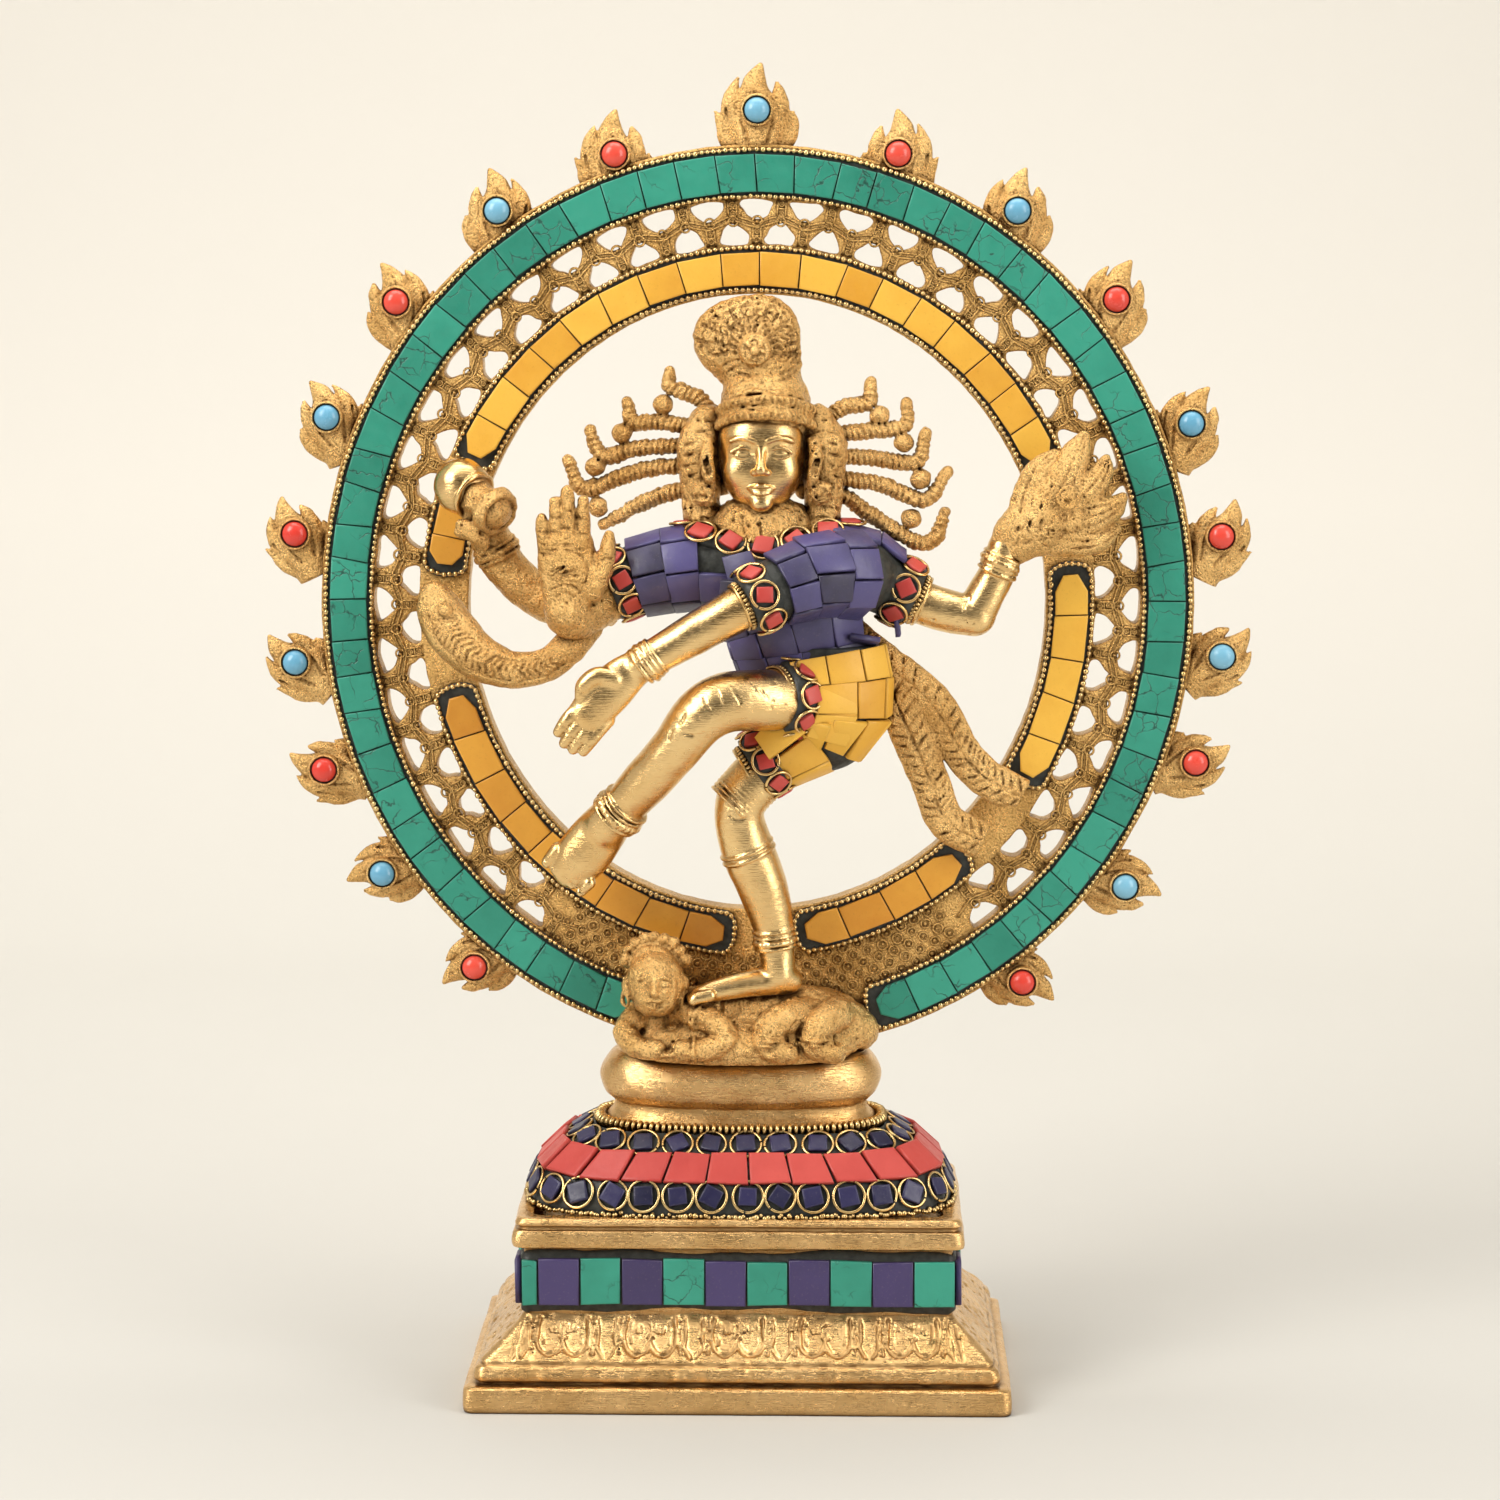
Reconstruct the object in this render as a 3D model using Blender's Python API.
"""Brass nataraja statue with stone inlay, about 325 mm tall, as separate castings and stones.

The row frame has its origin under the middle of the object on the floor. +Z is up, the front
faces -Y and +X is to the right of someone who looks at the front. Lengths are in millimetres
here and become metres when a mesh is made.
"""

import math

import bmesh
import bpy
from mathutils import Matrix, Vector

MM = 0.001
GAP = 0.3

# Pedestal: (half width, half depth) of each level and the heights between them.
BASE_X = -4.0
LIP = (67.0, 42.0)
LIP_TOP = 6.7
STEP = (64.5, 39.5)
STEP_TOP = 11.7
BLOCK = (53.0, 28.0)
SLOPE_TOP = 20.8
BLOCK_TOP = 38.2
WALL = 4.0
SLAB = (55.5, 31.0)
SLAB_TOP = 45.8
DOME_FOOT = (53.0, 28.5)
DOME_TOP = 64.6
NECK = (32.0, 14.0)
SEAT = (35.4, 18.5)
SEAT_BOTTOM = 65.0
SEAT_TOP = 82.6
FRIEZE_THICKNESS = 1.6
BELT_THICKNESS = 1.4
RECT_POWER = 14.0
SLAB_POWER = 9.0
DOME_POWER = 3.4
OVAL_POWER = 2.5

# Tie stud under the pedestal.
STUD_RADIUS = 3.0
STUD_HOLE = 3.6
STUD_LENGTH = 52.0
NUT_ACROSS_CORNERS = 11.5
NUT_HEIGHT = 5.0
WASHER_RADIUS = 8.0
WASHER_THICKNESS = 1.5

# Arch: two ellipses share a centre, and everything on the arch is offset from them.
ARCH_Z = 193.5
ARCH_FRONT = 0.0
ARCH_BACK = 7.0
GREEN = (100.8, 105.4)
AMBER = (77.4, 82.4)
GREEN_HALF = 4.7
AMBER_HALF = 4.2
RIM = 2.2
BAND_THICKNESS = 2.0
BEAD_WIRE = 0.8
HOLE_STEP = 7.5
HOLE_RANGE = (-52.5, 232.5)
HOLE_WIDTH = 6.6
HOLE_DEPTH = 4.6
GREEN_RANGE = (-72.0, 252.0)
AMBER_RANGES = {
    "crown": (25.0, 154.0),
    "left_stub": (162.0, 173.5),
    "left_lower": (195.5, 264.5),
    "right": (-31.0, 6.0),
    "lower_right": (-81.5, -49.5),
}

# Flames and their stones: angle about the arch's centre, and radius of the stone's centre.
FLAME_ANGLES = (
    90.0, 107.5, 123.3, 139.9, 156.4, 171.3, 187.2, 201.0, 215.8, 232.2,
    72.7, 56.7, 40.6, 22.9, 8.6, -6.2, -19.7, -37.4, -54.9,
)
STONE_RADIUS_FROM_CENTRE = 115.2
TOP_STONE_RADIUS_FROM_CENTRE = 121.5
CABOCHON_RADIUS = 3.0
BEZEL_RADIUS = 3.9
FLAME_FRONT = 0.4
FLAME_BACK = 6.0
BEZEL_HEIGHT = 1.2

# Figure: limbs are (x, y, z, radius) down their centrelines.
SKIN = 2.0
TRUNK = (
    (1.6, -9, 219, 6.0), (1.8, -9, 212, 7.5), (4, -10, 204, 11.5), (7.5, -10, 197, 12.5),
    (11, -10, 190, 11.5), (12.5, -10, 182, 11.0), (16.5, -11, 174, 12.2), (17, -12, 166, 11.0),
    (14, -12, 160, 7.5),
)
CHEST_SLEEVES = {
    "left": ((2, -10, 203, 10.5), (-12, -10, 204, 10.0), (-24, -10, 202, 9.2), (-33, -10, 199.5, 8.6)),
    "right": ((10, -10, 203, 10.5), (22, -10, 204, 10.0), (33, -9, 199, 8.4)),
    "front": ((25, -15, 203, 9.6), (16, -21, 203, 9.4), (7, -25, 200.5, 8.6), (3.4, -27, 199, 8.0)),
}
DHOTI_LEGS = {
    "raised": ((17, -13, 171, 11.0), (11.4, -18, 171.6, 9.8)),
    "standing": ((14, -12, 163, 10.0), (6.0, -13.5, 157.5, 8.6)),
}
POINTING_ARM = (
    (14, -22, 203, 5.4), (3.7, -27, 199, 5.6), (-2.3, -29, 196.2, 5.6), (-13, -30, 190.4, 5.3),
    (-22.6, -31, 184.7, 4.6), (-29.3, -31, 180.5, 4.2), (-33.4, -31, 177.4, 4.8),
    (-38.2, -31, 173.8, 5.4), (-42.3, -31, 168.4, 4.8), (-44.7, -31, 164.6, 3.2),
)
BLESSING_ARM = (
    (-22, -10, 202, 6.2), (-31, -10, 200, 6.6), (-38, -12, 196, 6.9), (-43.4, -16, 192.6, 6.4),
    (-46, -20, 193.4, 6.0), (-46.0, -21, 198, 6.4), (-45.2, -21, 204, 7.4), (-44.8, -21, 211, 7.6),
    (-44.6, -21, 217, 7.0), (-44.5, -21, 223, 4.6),
)
DRUM_ARM = (
    (-37, -7, 194.4, 5.4), (-46.8, -6.5, 194.2, 5.8), (-55.4, -8, 198, 5.5), (-61.4, -9, 204.2, 5.4),
    (-64.6, -10, 210.5, 5.4), (-66.0, -11, 215, 5.2),
)
DRUM = ((-72.0, -9.5, 223.5, 6.8), (-67.2, -13.5, 220.4, 4.4), (-62.4, -17.5, 217.4, 6.6))
COBRA = (
    (-41.5, -15, 188.5, 4.6), (-45.6, -16, 183.4, 4.3), (-51.1, -17, 179.9, 4.0),
    (-59.5, -17, 178.6, 4.2), (-68, -16, 182.2, 5.4), (-74.8, -14, 189.1, 6.2),
    (-79.0, -12, 195.6, 5.2), (-80.6, -11, 199.2, 3.2),
)
FLAME_ARM = (
    (24, -9.5, 202, 5.6), (33.8, -9, 198.2, 5.8), (41.2, -9, 194.5, 5.4), (48.5, -10, 192.4, 5.2),
    (54.3, -10, 192.2, 5.0), (57.2, -10, 196.6, 5.0), (59.3, -10, 202, 4.9), (61.2, -10, 207.4, 4.7),
    (63.4, -11, 211.6, 5.6), (69.2, -12, 217.2, 8.2), (74.2, -12, 222.2, 8.4), (76.6, -12, 229.0, 5.2),
    (76.2, -12, 234.2, 2.2),
)
RAISED_LEG = (
    (14, -17, 171, 7.4), (8, -21, 172.6, 7.4), (1.3, -26, 173.4, 7.2), (-6.6, -29, 173.6, 7.2),
    (-12.9, -30, 170.2, 7.0), (-19, -28, 161.7, 6.3), (-26.4, -24, 152.8, 5.5), (-32.6, -20, 145.7, 4.8),
    (-36.4, -17, 141.4, 5.0), (-40.2, -14.5, 135.9, 5.8), (-43.8, -13.5, 131.4, 5.6),
    (-47, -13.5, 127.9, 3.8),
)
STANDING_LEG = (
    (10, -13, 160.5, 6.4), (3.5, -14, 155.5, 6.6), (-2.6, -15, 149.7, 6.4), (-4.3, -15, 143.5, 6.1),
    (-1.9, -14, 134.7, 6.4), (1.5, -13, 125.8, 6.2), (4, -12, 116.9, 5.4), (5.2, -12, 109.4, 4.8),
    (5.4, -12, 104, 4.4),
)
STANDING_FOOT = ((7.5, -10.5, 101.8, 4.0), (-1.4, -13, 101.0, 3.6), (-9.9, -15, 99.6, 3.0), (-14.4, -16, 98.8, 2.0))
SCARF_STRIPS = (
    ((24, -7, 186, 4.2), (36.4, -6, 175.7, 4.2), (43.9, -5.5, 167, 4.3), (50.1, -5, 158.6, 4.3),
     (56.3, -4.4, 152.4, 4.4), (65.5, -4.0, 148.0, 4.4)),
    ((31.6, -7, 171.5, 3.6), (36.5, -6.5, 162.1, 4.0), (41.5, -5.8, 153.4, 4.3), (46.5, -5, 143.5, 4.4),
     (54.2, -4.4, 135.6, 4.4)),
)
SCARF_BRIDGE = ((42, -5.4, 168, 3.2), (39, -5.6, 161, 3.2))
HEAD_LOBES = (
    ((-12.5, -6, 229), (5.6, 4.6, 11.5)),
    ((16.5, -6, 229), (5.6, 4.6, 11.5)),
    ((2.0, -5.5, 232), (13.0, 5.5, 10.5)),
    ((1.8, -9, 218.5), (8.0, 5.6, 4.0)),
)
DWARF_LOBES = (
    ((-6, -3, 90), (29, 10, 9.5)),
    ((-24.5, -10, 102), (7.6, 7.2, 8.0)),
    ((-25, -8, 92), (9, 9, 8)),
    ((16, -5, 90), (13, 10, 9.5)),
    ((-17, -13, 87.5), (12, 4.5, 4.2)),
    ((8.5, -13, 89), (6.2, 5.0, 6.0)),
    ((19, -11, 88), (5.0, 4.5, 6.0)),
)
CUFFS = {
    "left": ((-33.6, -10.0, 199.2), (-37.4, -11.0, 197.2), 7.5, 9.6),
    "front": ((2.9, -27.2, 198.8), (-0.9, -28.4, 196.9), 6.2, 8.6),
    "right": ((33.6, -9.0, 198.7), (37.4, -9.0, 196.8), 6.4, 8.8),
    "raised_thigh": ((10.7, -18.6, 171.8), (7.0, -21.6, 172.4), 7.6, 10.3),
    "standing_thigh": ((5.6, -13.6, 157.2), (2.6, -14.0, 155.0), 7.3, 9.2),
}
COLLAR = ((1.8, -10.5, 211.0), (1.8, -10.0, 214.0), 8.2, 11.5)
HAIR_STRANDS_LEFT = (
    ((-9, -5, 243, 2.2), (-15.5, -5, 248, 1.8), (-24, -5, 251.5, 1.7), (-24, -5, 257.5, 1.4)),
    ((-11, -5, 238.5, 1.9), (-22, -5, 242, 1.7), (-33, -5, 243, 1.5), (-34, -5, 249, 1.2)),
    ((-11, -5, 233, 1.9), (-24, -5, 234.5, 1.7), (-40, -5, 234.5, 1.5), (-43.3, -5, 241, 1.2)),
    ((-11, -5, 228.5, 1.9), (-26, -5, 228, 1.7), (-42, -5, 223, 1.5), (-48.5, -5, 232, 1.2)),
    ((-11, -5, 223.5, 1.9), (-22, -5, 219.5, 1.7), (-34, -5, 214.5, 1.5), (-39.4, -5, 213, 1.2)),
)
HAIR_STRANDS_RIGHT = (
    ((15, -5, 243, 2.2), (22, -5, 247.5, 1.8), (29, -5, 249.5, 1.7), (29.5, -5, 256, 1.3)),
    ((16, -5, 239, 1.9), (27, -5, 241, 1.7), (37, -5, 242.5, 1.5), (39, -5, 249.5, 1.2)),
    ((17, -5, 235, 1.9), (29, -5, 233.5, 1.7), (41, -5, 233.5, 1.5), (44.5, -5, 241, 1.2)),
    ((17, -5, 230, 1.9), (30, -5, 227.5, 1.7), (44, -5, 222.5, 1.6), (49.6, -5, 231, 1.3)),
    ((17, -5, 226.5, 1.9), (28, -5, 219, 1.7), (40, -5, 211.5, 1.6), (48, -5, 219.5, 1.3)),
)
HAIR_LINKS_LEFT = (
    ((-25.5, 250.5), (-27.5, 243)), ((-35, 243.5), (-37.5, 235)),
    ((-42, 236.5), (-43, 226)), ((-37.5, 224), (-35.5, 215)),
)
HAIR_LINKS_RIGHT = (
    ((29, 249.5), (31, 241.6)), ((38, 243.5), (40, 233.5)),
    ((43, 236), (44.5, 223.5)), ((42, 223.2), (41, 212)),
)
HAIR_BEAD_WIDTH = 2.8

METAL = ("brass", (0.78, 0.57, 0.25), 0.32, 1.0)
LAC = ("lac", (0.03, 0.035, 0.032), 0.6, 0.0)
TURQUOISE = ("turquoise", (0.05, 0.42, 0.33), 0.35, 0.0)
AMBER_STONE = ("amber_stone", (0.86, 0.52, 0.07), 0.4, 0.0)
LAPIS = ("lapis", (0.09, 0.08, 0.24), 0.35, 0.0)
CORAL = ("coral", (0.75, 0.08, 0.06), 0.35, 0.0)
SKY = ("sky_stone", (0.12, 0.42, 0.62), 0.2, 0.0)


# --- Blender helpers --------------------------------------------------------------------------


def material(spec):
    """One Principled material for each finish, made once."""
    name, colour, roughness, metallic = spec
    found = bpy.data.materials.get(name)
    if found:
        return found
    made = bpy.data.materials.new(name)
    made.use_nodes = True
    shader = made.node_tree.nodes["Principled BSDF"]
    shader.inputs["Base Color"].default_value = (*colour, 1.0)
    shader.inputs["Roughness"].default_value = roughness
    shader.inputs["Metallic"].default_value = metallic
    made.diffuse_color = (*colour, 1.0)
    return made


def clear_scene():
    for obj in list(bpy.data.objects):
        bpy.data.objects.remove(obj)


def collection(name):
    made = bpy.data.collections.new(name)
    bpy.context.scene.collection.children.link(made)
    return made


def add(name, mesh, spec):
    """A named object in the statue's collection."""
    mesh.name = name
    mesh.materials.clear()
    mesh.materials.append(material(spec))
    obj = bpy.data.objects.new(name, mesh)
    STATUE.objects.link(obj)
    return obj


def mesh_of(bm):
    """Closes a bmesh in millimetres into a mesh in metres with its faces pointing out."""
    bmesh.ops.remove_doubles(bm, verts=bm.verts, dist=0.01)
    bmesh.ops.recalc_face_normals(bm, faces=bm.faces)
    bmesh.ops.scale(bm, vec=(MM, MM, MM), verts=bm.verts)
    mesh = bpy.data.meshes.new("part")
    bm.to_mesh(mesh)
    bm.free()
    return mesh


def curve_mesh(curve):
    """The evaluated mesh of a curve in metres, with its caps welded on."""
    holder = bpy.data.objects.new("curve", curve)
    bpy.context.scene.collection.objects.link(holder)
    graph = bpy.context.evaluated_depsgraph_get()
    mesh = bpy.data.meshes.new_from_object(holder.evaluated_get(graph))
    bpy.data.objects.remove(holder)
    bm = bmesh.new()
    bm.from_mesh(mesh)
    bmesh.ops.remove_doubles(bm, verts=bm.verts, dist=0.00001)
    bmesh.ops.recalc_face_normals(bm, faces=bm.faces)
    bm.to_mesh(mesh)
    bm.free()
    return mesh


def smooth_path(points, per_span):
    """Catmull-Rom points through (x, y, z, radius) rows, with per_span points for each span."""
    rows = [Vector(p) for p in points]
    padded = [2 * rows[0] - rows[1]] + rows + [2 * rows[-1] - rows[-2]]
    path = []
    for i in range(len(rows) - 1):
        a, b, c, d = padded[i : i + 4]
        for k in range(per_span):
            t = k / per_span
            path.append(
                0.5 * (2 * b + (c - a) * t + (2 * a - 5 * b + 4 * c - d) * t**2
                       + (3 * b - a - 3 * c + d) * t**3)
            )
    path.append(rows[-1])
    return path


def tube_mesh(points, grow=0.0, sides=8, per_span=2, cyclic=False):
    """A round tube through (x, y, z, radius) rows, made as a bevelled POLY curve."""
    path = [Vector(p) for p in points] if cyclic else smooth_path(points, per_span)
    curve = bpy.data.curves.new("tube", "CURVE")
    curve.dimensions = "3D"
    curve.bevel_depth = MM
    curve.bevel_resolution = (sides - 4) // 2
    curve.use_fill_caps = True
    spline = curve.splines.new("POLY")
    spline.points.add(len(path) - 1)
    spline.use_cyclic_u = cyclic
    for point, row in zip(spline.points, path):
        point.co = (row[0] * MM, row[1] * MM, row[2] * MM, 1.0)
        point.radius = row[3] + grow
    return curve_mesh(curve)


def flatten(mesh, y, share):
    """Squashes a mesh towards the plane at depth y, so that a round limb becomes oval."""
    for vertex in mesh.vertices:
        vertex.co.y = y * MM + (vertex.co.y - y * MM) * share
    return mesh


def ball_mesh(centre, radii, segments=10, rings=6):
    bm = bmesh.new()
    bmesh.ops.create_uvsphere(bm, u_segments=segments, v_segments=rings, radius=1.0)
    place = Matrix.Translation(centre) @ Matrix.Diagonal((*radii, 1.0))
    bmesh.ops.transform(bm, matrix=place, verts=bm.verts)
    return mesh_of(bm)


def box_mesh(low, high):
    bm = bmesh.new()
    bmesh.ops.create_cube(bm, size=1.0)
    centre = (Vector(low) + Vector(high)) / 2
    size = Vector(high) - Vector(low)
    bmesh.ops.transform(bm, matrix=Matrix.Translation(centre) @ Matrix.Diagonal((*size, 1.0)), verts=bm.verts)
    return mesh_of(bm)


def cylinder_mesh(centre, radius, height, sides, axis="Z"):
    bm = bmesh.new()
    bmesh.ops.create_cone(
        bm, cap_ends=True, segments=sides, radius1=radius, radius2=radius, depth=height
    )
    turn = Matrix.Rotation(math.pi / 2, 4, "X") if axis == "Y" else Matrix.Identity(4)
    bmesh.ops.transform(bm, matrix=Matrix.Translation(centre) @ turn, verts=bm.verts)
    return mesh_of(bm)


def outline_mesh(outlines, front, back):
    """A flat plate in the XZ plane from closed outlines, of which the later ones are holes."""
    curve = bpy.data.curves.new("plate", "CURVE")
    curve.dimensions = "2D"
    curve.fill_mode = "BOTH"
    curve.extrude = (back - front) / 2 * MM
    for outline in outlines:
        spline = curve.splines.new("POLY")
        spline.points.add(len(outline) - 1)
        spline.use_cyclic_u = True
        for point, (x, z) in zip(spline.points, outline):
            point.co = (x * MM, z * MM, 0.0, 1.0)
    mesh = curve_mesh(curve)
    upright = Matrix.Translation((0, (front + back) / 2 * MM, 0)) @ Matrix.Rotation(math.pi / 2, 4, "X")
    mesh.transform(upright)
    return mesh


def oval(half, power, z, count=24, x=BASE_X):
    """A superellipse ring: power 2 is an ellipse, and a high power is nearly a rectangle."""
    ring = []
    for i in range(count):
        angle = 2 * math.pi * (i + 0.5) / count
        c, s = math.cos(angle), math.sin(angle)
        ring.append((
            x + half[0] * math.copysign(abs(c) ** (2 / power), c),
            half[1] * math.copysign(abs(s) ** (2 / power), s),
            z,
        ))
    return ring


def loft_mesh(rings, closed=False):
    """A solid through rings of equal count. A closed one joins its last ring to its first."""
    bm = bmesh.new()
    levels = [[bm.verts.new(p) for p in ring] for ring in rings]
    pairs = list(zip(levels, levels[1:]))
    if closed:
        pairs.append((levels[-1], levels[0]))
    for low, high in pairs:
        for i in range(len(low)):
            j = (i + 1) % len(low)
            bm.faces.new((low[i], low[j], high[j], high[i]))
    if not closed:
        bm.faces.new(list(reversed(levels[0])))
        bm.faces.new(levels[-1])
    return mesh_of(bm)


def helper(mesh, grow=0.0):
    """A hidden object for a Boolean. It is pushed out along its normals by grow millimetres."""
    obj = bpy.data.objects.new("helper", mesh)
    CUTTERS.objects.link(obj)
    obj.hide_render = True
    obj.display_type = "WIRE"
    if grow:
        push = obj.modifiers.new("push", "DISPLACE")
        push.strength = grow * MM
        push.mid_level = 0.0
    return obj


def boolean(mesh, others, operation, grow=0.0):
    """The mesh joined with, or cut by, each of the others in turn."""
    for other in others:
        base = helper(mesh)
        tool = helper(other, grow)
        step = base.modifiers.new("step", "BOOLEAN")
        step.operation = operation
        step.solver = "EXACT"
        step.object = tool
        graph = bpy.context.evaluated_depsgraph_get()
        mesh = bpy.data.meshes.new_from_object(base.evaluated_get(graph))
        bpy.data.objects.remove(base)
        bpy.data.objects.remove(tool)
    return mesh


def union(first, *others):
    return boolean(first, others, "UNION")


def joined(shapes):
    """One mesh from a list of simple overlapping shapes."""
    return union(*shapes)


def clear_of(mesh, *neighbours):
    """The mesh less its neighbours, each a list of simple shapes, with the gap round each."""
    shapes = [shape for neighbour in neighbours for shape in neighbour]
    return biggest(boolean(mesh, shapes, "DIFFERENCE", GAP))


def biggest(mesh):
    """Only the largest connected piece of a mesh, without the crumbs that a cut leaves."""
    bm = bmesh.new()
    bm.from_mesh(mesh)
    unseen = set(bm.verts)
    islands = []
    while unseen:
        stack = [unseen.pop()]
        island = set(stack)
        while stack:
            for edge in stack.pop().link_edges:
                for vertex in edge.verts:
                    if vertex in unseen:
                        unseen.discard(vertex)
                        island.add(vertex)
                        stack.append(vertex)
        islands.append(island)
    largest = max(islands, key=len)
    crumbs = [v for v in bm.verts if v not in largest]
    bmesh.ops.delete(bm, geom=crumbs, context="VERTS")
    bm.to_mesh(mesh)
    bm.free()
    return mesh


# --- Pedestal ---------------------------------------------------------------------------------


def plinth():
    """Stepped foot with the sloping petal face and the square block, hollow from below."""
    hole = (STUD_HOLE, STUD_HOLE)
    roof = BLOCK_TOP - WALL
    inner_block = (BLOCK[0] - WALL, BLOCK[1] - WALL)
    rings = [
        oval(LIP, RECT_POWER, 0),
        oval(LIP, RECT_POWER, LIP_TOP),
        oval(STEP, RECT_POWER, LIP_TOP + 0.6),
        oval((STEP[0] - 1.5, STEP[1] - 1.5), RECT_POWER, STEP_TOP),
        oval(BLOCK, RECT_POWER, SLOPE_TOP),
        oval(BLOCK, RECT_POWER, BLOCK_TOP),
        oval(hole, 2, BLOCK_TOP),
        oval(hole, 2, roof),
        oval(inner_block, RECT_POWER, roof),
        oval(inner_block, RECT_POWER, SLOPE_TOP),
        oval((LIP[0] - 2 * WALL, LIP[1] - 2 * WALL), RECT_POWER, LIP_TOP),
        oval((LIP[0] - WALL, LIP[1] - WALL), RECT_POWER, 0),
    ]
    return loft_mesh(rings, closed=True)


def ring_band(inner, outer, power):
    """A closed band between two stacks of (half, z) levels."""
    rings = [oval(half, power, z) for half, z in outer]
    rings += [oval(half, power, z) for half, z in reversed(inner)]
    return loft_mesh(rings, closed=True)


def grown(half, by):
    return (half[0] + by, half[1] + by)


def frieze():
    """The square course of tiles in its lac bed, round the block."""
    low, high = SLOPE_TOP + 0.8, BLOCK_TOP - 1.6
    near, far = grown(BLOCK, GAP), grown(BLOCK, GAP + FRIEZE_THICKNESS)
    return ring_band([(near, low), (near, high)], [(far, low), (far, high)], RECT_POWER)


def dome_half(share):
    """The dome's half sizes at a share of its height, from its foot to its neck."""
    bulge = math.cos(math.pi / 2 * share) ** 0.8
    wide = NECK[0] + 3 + (DOME_FOOT[0] - NECK[0] - 3) * bulge
    deep = NECK[1] + 2 + (DOME_FOOT[1] - NECK[1] - 2) * bulge
    return (wide, deep)


def dome_z(share):
    return SLAB_TOP + (DOME_TOP - SLAB_TOP) * share


DOME_SHARES = (0.0, 0.16, 0.34, 0.52, 0.7, 0.86, 1.0)
ROW_LOW = (0.16, 0.40)
BELT = (0.42, 0.76)
ROW_HIGH = (0.78, 0.95)


def upper_pedestal():
    """Square slab with the dome that carries the inlay, bored for the tie stud."""
    z0 = BLOCK_TOP + GAP
    hole = (STUD_HOLE, STUD_HOLE)
    rings = [oval(SLAB, SLAB_POWER, z0), oval(SLAB, SLAB_POWER, SLAB_TOP - 0.8)]
    rings.append(oval(grown(SLAB, -0.8), SLAB_POWER, SLAB_TOP))
    rings += [oval(dome_half(s), DOME_POWER, dome_z(s)) for s in DOME_SHARES]
    rings += [oval(hole, 2, DOME_TOP), oval(hole, 2, z0)]
    return loft_mesh(rings, closed=True)


def dome_belt(shares, thickness):
    """A skin of inlay that wraps the dome between two shares of its height."""
    steps = 2
    heights = [shares[0] + (shares[1] - shares[0]) * i / steps for i in range(steps + 1)]
    lift = 0.9 * GAP
    inner = [(grown(dome_half(s), 1.6 * GAP), dome_z(s) + lift) for s in heights]
    outer = [(grown(dome_half(s), GAP + thickness), dome_z(s) + lift + thickness * s) for s in heights]
    return ring_band(inner, outer, DOME_POWER)


def lotus_seat():
    """Oval seat under the dwarf: a waisted neck below a fat round moulding."""
    z0 = DOME_TOP + GAP
    levels = [
        (grown(NECK, 1.5), z0), (NECK, z0 + 2.5), (grown(NECK, 0.5), z0 + 5.0),
        (grown(SEAT, -1.6), z0 + 6.4), (SEAT, z0 + 9.6), (SEAT, z0 + 12.4),
        (grown(SEAT, -1.6), z0 + 15.6), (grown(SEAT, -5.0), SEAT_TOP),
    ]
    rings = [oval(half, OVAL_POWER, z) for half, z in levels]
    blind = (STUD_RADIUS + GAP, STUD_RADIUS + GAP)
    depth = STUD_LENGTH + 21.0
    socket = cylinder_mesh((BASE_X, 0, z0), blind[0], 2 * (depth - z0), 16)
    return boolean(loft_mesh(rings), [socket], "DIFFERENCE")


def tie_parts():
    """Stud, washer and nut that clamp the seat and both pedestal castings together."""
    roof = BLOCK_TOP - WALL
    washer_z = roof - GAP - WASHER_THICKNESS / 2
    washer = cylinder_mesh((BASE_X, 0, washer_z), WASHER_RADIUS, WASHER_THICKNESS, 24)
    bore = cylinder_mesh((BASE_X, 0, washer_z), STUD_HOLE, 4 * WASHER_THICKNESS, 16)
    add("tie_washer", boolean(washer, [bore], "DIFFERENCE"), METAL)
    nut_z = washer_z - WASHER_THICKNESS / 2 - GAP - NUT_HEIGHT / 2
    nut = cylinder_mesh((BASE_X, 0, nut_z), NUT_ACROSS_CORNERS / 2, NUT_HEIGHT, 6)
    bore = cylinder_mesh((BASE_X, 0, nut_z), STUD_RADIUS + GAP, 2 * NUT_HEIGHT, 16)
    add("tie_nut", boolean(nut, [bore], "DIFFERENCE"), METAL)
    top = STUD_LENGTH + 21.0 - 1.0
    stud = cylinder_mesh((BASE_X, 0, top - STUD_LENGTH / 2), STUD_RADIUS, STUD_LENGTH, 16)
    add("tie_stud", stud, METAL)


# --- Arch -------------------------------------------------------------------------------------


def on_ellipse(half, degrees, out=0.0):
    """A point on an arch ellipse, moved out along its normal by out millimetres."""
    a = math.radians(degrees)
    normal = Vector((math.cos(a) / half[0], math.sin(a) / half[1])).normalized()
    return (
        half[0] * math.cos(a) + normal.x * out,
        ARCH_Z + half[1] * math.sin(a) + normal.y * out,
    )


def arc(half, start, end, out=0.0, step=6.0):
    count = max(2, round(abs(end - start) / step))
    return [on_ellipse(half, start + (end - start) * i / count, out) for i in range(count + 1)]


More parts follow.
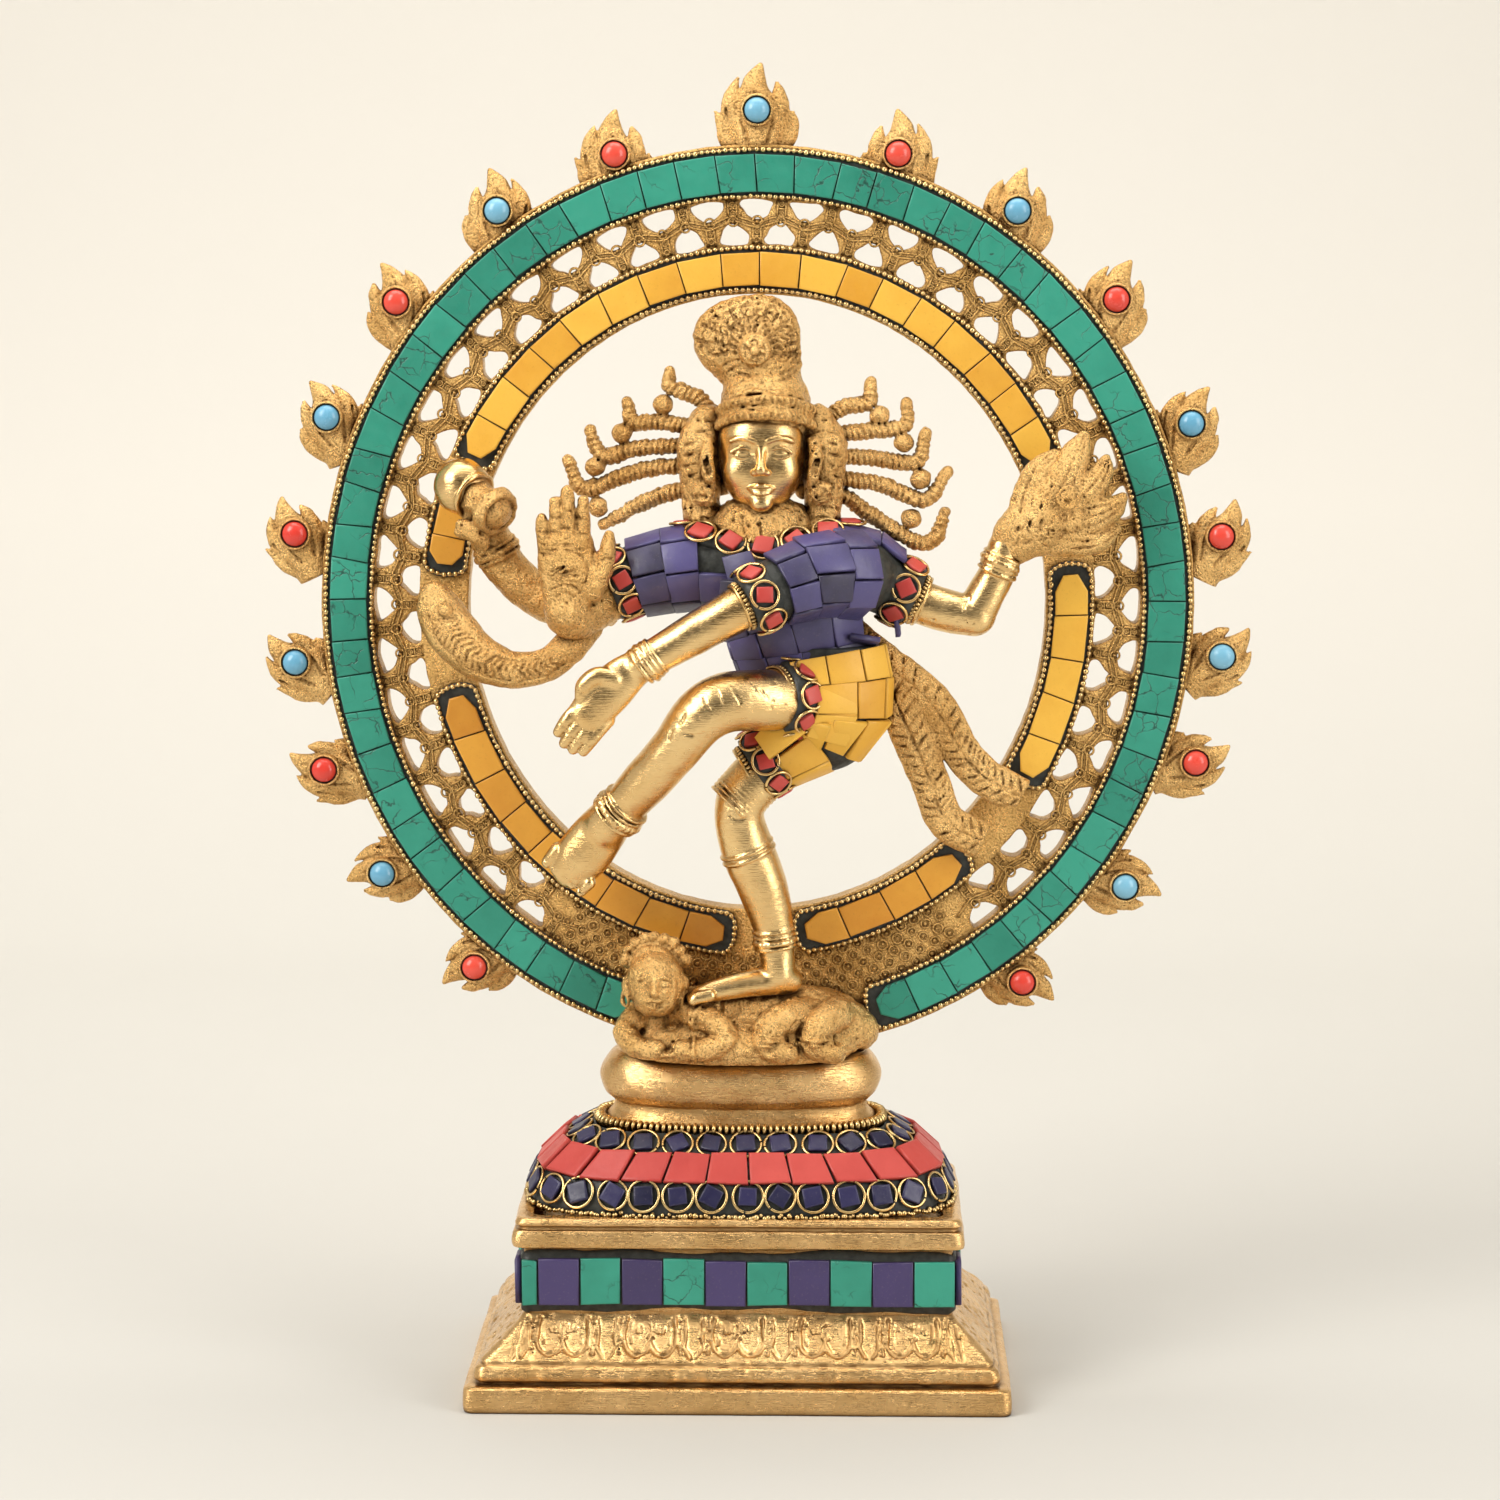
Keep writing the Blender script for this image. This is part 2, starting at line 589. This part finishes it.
def lattice_hole(half, degrees, edge, inward):
    """A five-cornered hole with its flat side at edge and its point towards the web's middle."""
    x, z = on_ellipse(half, degrees, edge)
    a = math.radians(degrees)
    normal = Vector((math.cos(a) / half[0], math.sin(a) / half[1])).normalized()
    along = Vector((-normal.y, normal.x))
    sign = -1 if inward else 1
    w = HOLE_WIDTH / 2
    corners = ((-w, 0.0), (w, 0.0), (w * 0.85, HOLE_DEPTH * 0.45), (0.0, HOLE_DEPTH), (-w * 0.85, HOLE_DEPTH * 0.45))
    return [
        (x + along.x * u + normal.x * v * sign, z + along.y * u + normal.y * v * sign)
        for u, v in corners
    ]


def flame_outline(degrees, reach):
    """Outline of one flame: a round body at the stone, and three tips that lean upwards."""
    out = Vector((math.cos(math.radians(degrees)), math.sin(math.radians(degrees))))
    lean = math.radians(90 + (degrees - 90) * 0.5)
    up = Vector((math.cos(lean), math.sin(lean)))
    side = Vector((-up.y, up.x))
    centre = out * reach + Vector((0, ARCH_Z))
    root = centre - out * 11.0
    tips = (
        (root, 6.0, 0.0), (centre, 7.0, -1.0), (centre, 5.6, 5.4), (centre, 2.8, 5.0),
        (centre, 0.6, 10.2), (centre, -2.8, 5.0), (centre, -5.6, 5.4), (centre, -7.0, -1.0),
        (root, -6.0, 0.0),
    )
    return [tuple(at + side * -s + up * u) for at, s, u in tips]


def stone_place(degrees):
    """Centre of a flame's stone in the XZ plane."""
    reach = TOP_STONE_RADIUS_FROM_CENTRE if degrees == 90.0 else STONE_RADIUS_FROM_CENTRE
    a = math.radians(degrees)
    return reach, reach * math.cos(a), ARCH_Z + reach * math.sin(a)


def arch_casting():
    """Pierced oval plate with the flames and their bezel cups, cast in one piece."""
    drop = ARCH_Z - SEAT_TOP - GAP
    foot = math.degrees(math.asin(drop / (GREEN[1] + GREEN_HALF + RIM))) - 0.1
    outer = arc(GREEN, -foot, 180 + foot, GREEN_HALF + RIM)
    inner = arc(AMBER, -90, 265, -AMBER_HALF - RIM)
    outlines = [outer, inner]
    count = round((HOLE_RANGE[1] - HOLE_RANGE[0]) / HOLE_STEP)
    for i in range(count + 1):
        degrees = HOLE_RANGE[0] + i * HOLE_STEP
        outlines.append(lattice_hole(GREEN, degrees, -GREEN_HALF - RIM + 0.6, True))
        if i < count:
            between = degrees + HOLE_STEP / 2
            outlines.append(lattice_hole(AMBER, between, AMBER_HALF + RIM - 0.6, False))
    plate = outline_mesh(outlines, ARCH_FRONT, ARCH_BACK)
    for degrees in FLAME_ANGLES:
        reach, x, z = stone_place(degrees)
        flame = outline_mesh([flame_outline(degrees, reach)], FLAME_FRONT, FLAME_BACK)
        cup_y = FLAME_FRONT - BEZEL_HEIGHT / 2 + 0.5
        cup = cylinder_mesh((x, cup_y, z), BEZEL_RADIUS, BEZEL_HEIGHT + 1.0, 10, "Y")
        plate = union(plate, union(flame, cup))
    return plate


def cabochons():
    """A domed stone on each flame, coral and sky blue in turn."""
    back = FLAME_FRONT - BEZEL_HEIGHT - GAP
    for number, degrees in enumerate(FLAME_ANGLES):
        _, x, z = stone_place(degrees)
        rings = [
            [
                (x + r * math.cos(a), back - rise, z + r * math.sin(a))
                for a in [2 * math.pi * i / 10 for i in range(10)]
            ]
            for r, rise in ((CABOCHON_RADIUS, 0.0), (CABOCHON_RADIUS, 0.5), (2.3, 1.7), (1.0, 2.3))
        ]
        from_top = number if number < 10 else number - 9
        add(f"cabochon_{number + 1:02d}", loft_mesh(rings), CORAL if from_top % 2 else SKY)


def band_outline(half, start, end, half_width, nose):
    """A strip along an ellipse, whose two ends come to a blunt point."""
    outer = arc(half, start, end, half_width)
    inner = arc(half, end, start, -half_width)
    first, last = on_ellipse(half, start - nose), on_ellipse(half, end + nose)
    return outer + [last] + inner + [first]


def bands():
    """The stone strips that are laid into the arch's front, and the wire round the green one."""
    front, back = ARCH_FRONT - GAP - BAND_THICKNESS, ARCH_FRONT - GAP
    outline = band_outline(GREEN, *GREEN_RANGE, GREEN_HALF - 0.4, 1.2)
    add("turquoise_band", outline_mesh([outline], front, back), TURQUOISE)
    for name, (start, end) in AMBER_RANGES.items():
        outline = band_outline(AMBER, start, end, AMBER_HALF - 0.3, 1.6)
        add(f"amber_band_{name}", outline_mesh([outline], front, back), AMBER_STONE)
    loop = band_outline(GREEN, *GREEN_RANGE, GREEN_HALF + 1.0, 2.6)
    y = ARCH_FRONT - GAP - BEAD_WIRE
    wire = tube_mesh([(x, y, z, BEAD_WIRE) for x, z in loop], sides=4, cyclic=True)
    add("beaded_wire", wire, METAL)


# --- Figure -----------------------------------------------------------------------------------


def figure_shapes():
    """Every piece of the figure as a list of simple shapes, before any is cut by another."""
    trunk = [row for row in TRUNK if 182 <= row[2] <= 212]
    hips = [(15, -10.5, 179.5, 10.6)] + [row for row in TRUNK if row[2] <= 174]
    torso = [flatten(tube_mesh(trunk, grow=SKIN, per_span=1, sides=10), -10, 0.80)]
    torso += [tube_mesh(sleeve, per_span=1, sides=10) for sleeve in CHEST_SLEEVES.values()]
    dhoti = [flatten(tube_mesh(hips, grow=SKIN, per_span=1, sides=10), -10, 0.86)]
    dhoti += [tube_mesh(leg, per_span=1, sides=10) for leg in DHOTI_LEGS.values()]
    skull = [ball_mesh((2.0, -11, 232), (10.6, 9.4, 12.8), 12, 8)]
    skull += [ball_mesh(centre, radii) for centre, radii in HEAD_LOBES]
    return {
        "core": [flatten(tube_mesh(TRUNK, per_span=1, sides=10), -10, 0.72)],
        "torso": torso,
        "dhoti": dhoti,
        "pointing": [tube_mesh(POINTING_ARM, per_span=1)],
        "blessing": [tube_mesh(BLESSING_ARM, per_span=1)],
        "drum_arm": [tube_mesh(DRUM_ARM, per_span=1)],
        "drum": [tube_mesh(DRUM, per_span=2, sides=10)],
        "cobra": [flatten(tube_mesh(COBRA, per_span=1), -14, 0.75)],
        "flame": [flatten(tube_mesh(FLAME_ARM, per_span=1), -11, 0.8)],
        "raised": [tube_mesh(RAISED_LEG, per_span=1)],
        "standing": [tube_mesh(STANDING_LEG, per_span=1), tube_mesh(STANDING_FOOT, per_span=1)],
        "head": skull,
        "crown": [crown_shape()],
        "left_cuff": [cuff(*CUFFS["left"])],
        "scarf": [flatten(tube_mesh(strip, per_span=1), -4.6, 0.34) for strip in SCARF_STRIPS],
    }


def crown_shape():
    """Tall headdress over the double hair band, narrow at the band and wide at the hoods."""
    levels = (
        (12.0, 9.6, 241.5), (11.8, 9.4, 245.0), (7.6, 6.8, 246.5), (9.4, 6.4, 251.0),
        (12.4, 5.6, 257.5), (11.4, 5.0, 263.5), (7.6, 4.0, 268.6),
    )
    turns = [2 * math.pi * i / 14 for i in range(14)]
    rings = [[(1.6 + rx * math.cos(a), -9 + ry * math.sin(a), z) for a in turns] for rx, ry, z in levels]
    return loft_mesh(rings)


def cuff(start, end, inner, outer, sides=12):
    """A short ring round the line from start to end."""
    start, end = Vector(start), Vector(end)
    turn = (end - start).to_track_quat("Z", "Y").to_matrix()
    rings = []
    for radius, at in ((inner, start), (outer, start), (outer, end), (inner, end)):
        turns = [2 * math.pi * i / sides for i in range(sides)]
        rings.append([at + turn @ Vector((radius * math.cos(a), radius * math.sin(a), 0)) for a in turns])
    return loft_mesh(rings, closed=True)


def hair_fan(strands, links, shapes):
    """Flying locks on one side, with a bead from each to the next that makes them one casting."""
    locks = [tube_mesh(strand, per_span=1, sides=6) for strand in strands]
    knots = []
    for high, low in links:
        centre = ((high[0] + low[0]) / 2, -5, (high[1] + low[1]) / 2)
        radii = (HAIR_BEAD_WIDTH, 2.0, (high[1] - low[1]) / 2 + 0.8)
        knots.append(ball_mesh(centre, radii, 8, 5))
    near = (shapes["head"], shapes["crown"], shapes["torso"], shapes["blessing"])
    return clear_of(joined(locks + knots), *near)


def figure(shapes):
    """Adds every piece of the figure, each cut clear of the pieces it lies against."""
    under = {
        "core": (),
        "torso": ("core", "pointing", "blessing", "flame", "dhoti"),
        "dhoti": ("core", "raised", "standing"),
        "pointing": ("core",),
        "blessing": ("core",),
        "flame": ("core",),
        "raised": ("core",),
        "standing": ("core",),
        "drum_arm": ("blessing", "drum", "torso", "left_cuff"),
        "drum": (),
        "cobra": ("blessing", "drum_arm", "left_cuff"),
        "head": ("core",),
        "crown": ("head",),
        "scarf": ("dhoti", "torso", "core"),
    }
    names = {
        "core": "figure_core", "torso": "torso_mosaic", "dhoti": "dhoti_mosaic",
        "pointing": "pointing_arm", "blessing": "blessing_arm", "flame": "flame_arm",
        "raised": "raised_leg", "standing": "standing_leg", "head": "head_casting",
        "crown": "crown_casting",
    }
    finishes = {"torso": LAPIS, "dhoti": AMBER_STONE}
    for part, near in under.items():
        mesh = joined(shapes[part])
        if near:
            mesh = clear_of(mesh, *[shapes[name] for name in near])
        add(names.get(part, part), mesh, finishes.get(part, METAL))

    add("hair_fan_left", hair_fan(HAIR_STRANDS_LEFT, HAIR_LINKS_LEFT, shapes), METAL)
    add("hair_fan_right", hair_fan(HAIR_STRANDS_RIGHT, HAIR_LINKS_RIGHT, shapes), METAL)
    solid = [shapes[name] for name in ("core", "torso", "dhoti", "pointing", "blessing", "flame", "raised", "standing")]
    for name, (start, end, inner, outer) in CUFFS.items():
        add(f"coral_cuff_{name}", clear_of(cuff(start, end, inner, outer), *solid), LAC)
    add("coral_collar", clear_of(cuff(*COLLAR, sides=16), shapes["torso"], shapes["core"]), LAC)


# --- Dwarf ------------------------------------------------------------------------------------


def dwarf(standing_leg):
    """The dwarf under the standing foot, as one lumpy casting on the seat."""
    body = joined([ball_mesh(centre, radii) for centre, radii in DWARF_LOBES])
    floor = box_mesh((-80, -40, 60), (80, 40, SEAT_TOP + GAP))
    behind = box_mesh((-80, ARCH_FRONT - 2 * GAP - BAND_THICKNESS, 60), (80, 40, 200))
    body = boolean(body, [floor, behind], "DIFFERENCE")
    return clear_of(body, standing_leg)


def pedestal(standing_leg):
    add("plinth_casting", plinth(), METAL)
    add("frieze_mosaic", frieze(), TURQUOISE)
    add("upper_pedestal_casting", upper_pedestal(), METAL)
    add("lapis_ring_row_lower", dome_belt(ROW_LOW, BELT_THICKNESS), LAPIS)
    add("coral_tile_belt", dome_belt(BELT, BELT_THICKNESS), CORAL)
    add("lapis_ring_row_upper", dome_belt(ROW_HIGH, BELT_THICKNESS), LAPIS)
    add("lotus_seat_casting", lotus_seat(), METAL)
    add("dwarf_casting", dwarf(standing_leg), METAL)
    tie_parts()


clear_scene()
STATUE = collection("nataraja_statue")
CUTTERS = collection("cutters")
SHAPES = figure_shapes()
figure(SHAPES)
pedestal(SHAPES["standing"])
add("arch_casting", arch_casting(), METAL)
cabochons()
bands()
